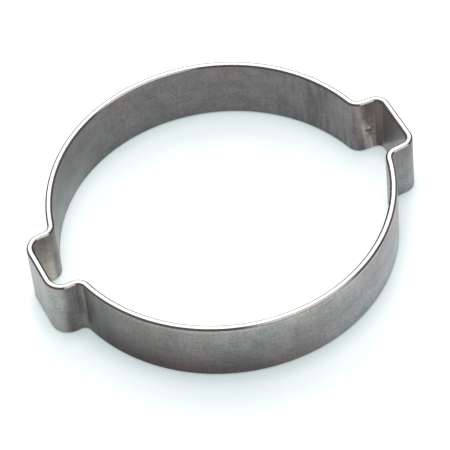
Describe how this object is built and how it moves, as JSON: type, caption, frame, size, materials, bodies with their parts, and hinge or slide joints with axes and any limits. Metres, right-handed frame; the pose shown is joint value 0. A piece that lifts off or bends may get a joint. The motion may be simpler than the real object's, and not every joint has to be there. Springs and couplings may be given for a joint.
{
  "type": "double-ear hose clamp",
  "caption": "Closed thin steel band ring with opposed box-shaped ears that pincers pinch narrower, so that the ring shrinks and holds a hose on its fitting.",
  "frame": {"origin": "on the axis of the hose bore, at the band's bottom rim", "axes": "+Z runs along the bore; +X runs through both ears, which stand out at +X and -X; +Y is square to both"},
  "size_m": [0.0514, 0.0448, 0.009],
  "materials": {
    "band_steel": "satin, faintly mottled mill finish with bright rolled edges"
  },
  "bodies": {
    "root": {"clamp_band": "band_steel"}
  },
  "joints": []
}
